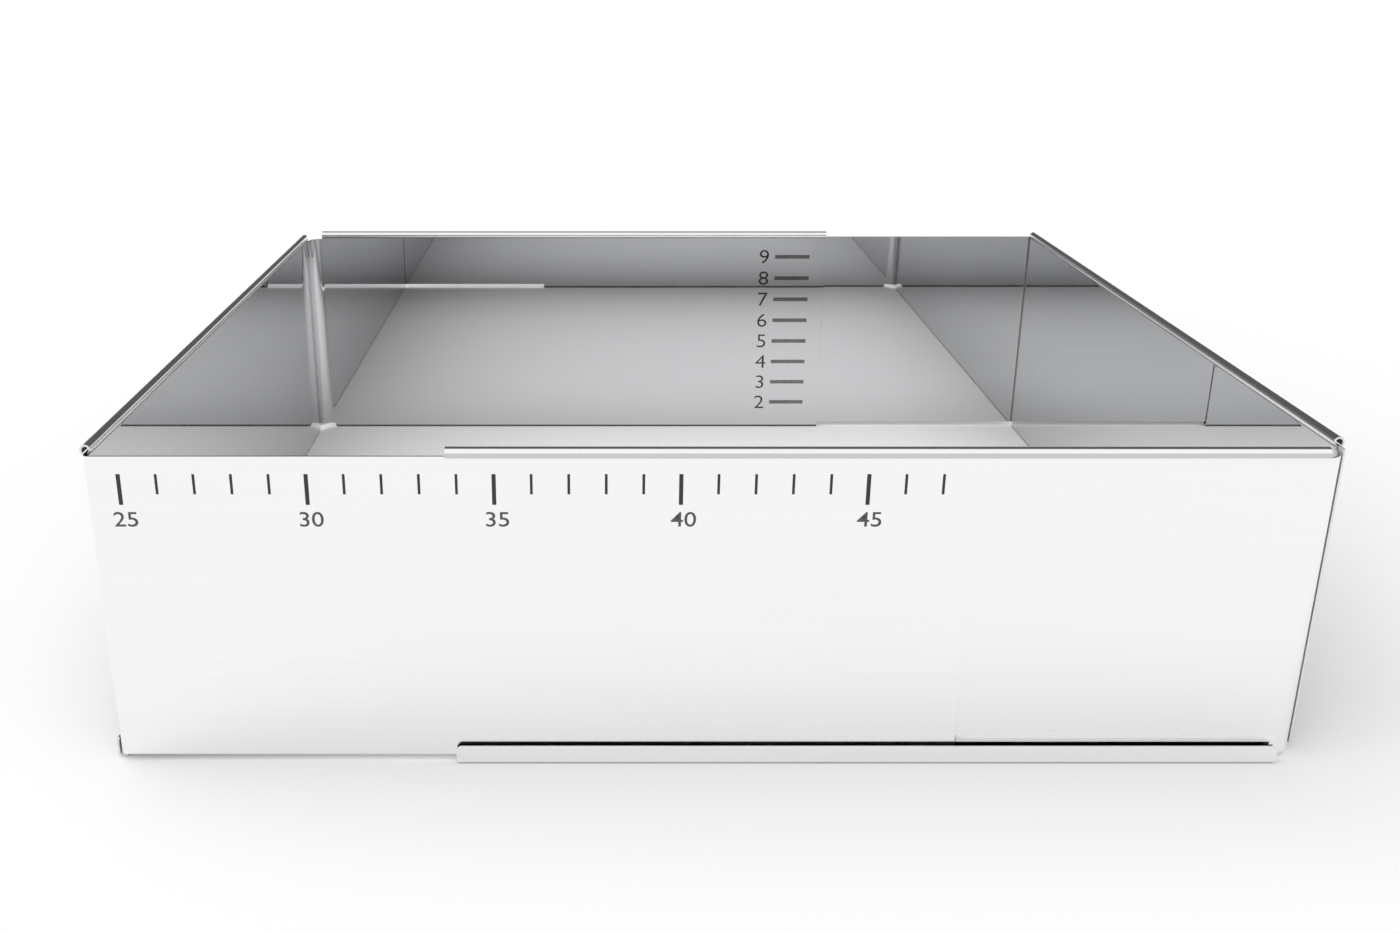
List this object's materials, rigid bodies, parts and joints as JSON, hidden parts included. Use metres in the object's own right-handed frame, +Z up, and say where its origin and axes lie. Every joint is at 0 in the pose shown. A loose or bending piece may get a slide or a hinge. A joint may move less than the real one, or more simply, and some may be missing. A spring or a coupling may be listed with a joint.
{
  "type": "adjustable baking frame",
  "caption": "Adjustable rectangular baking frame: folded steel corners slide in one another's rolled top rims and foot lips to set the length and width. Open at top and bottom.",
  "frame": {"origin": "on the table, under the middle of the frame as drawn out in the picture", "axes": "+X along the length that the front scale reads, +Y from the front wall to the back wall, +Z up"},
  "size_m": [0.341, 0.2464, 0.0975],
  "materials": {
    "steel": "bright satin stainless sheet"
  },
  "bodies": {
    "back_left": {"rimmed_corner_back_left": "steel"},
    "back_right": {"plain_corner_back_right": "steel"},
    "front_left": {"plain_corner_front_left": "steel"},
    "front_right": {"rimmed_corner_front_right": "steel"}
  },
  "joints": [
    {"name": "length_slide", "type": "slide", "parent": "back_left", "child": "back_right", "axis": [1, 0, 0], "range_m": [-0.0874, 0.1326]},
    {"name": "width_slide", "type": "slide", "parent": "back_left", "child": "front_left", "axis": [0, -1, 0], "range_m": [0, 0.226]},
    {"name": "width_slide_right", "type": "slide", "parent": "back_right", "child": "front_right", "axis": [0, -1, 0], "range_m": [0, 0.226]}
  ],
  "couplings": [
    {"joint": "width_slide_right", "follows": "width_slide", "ratio": 1}
  ]
}
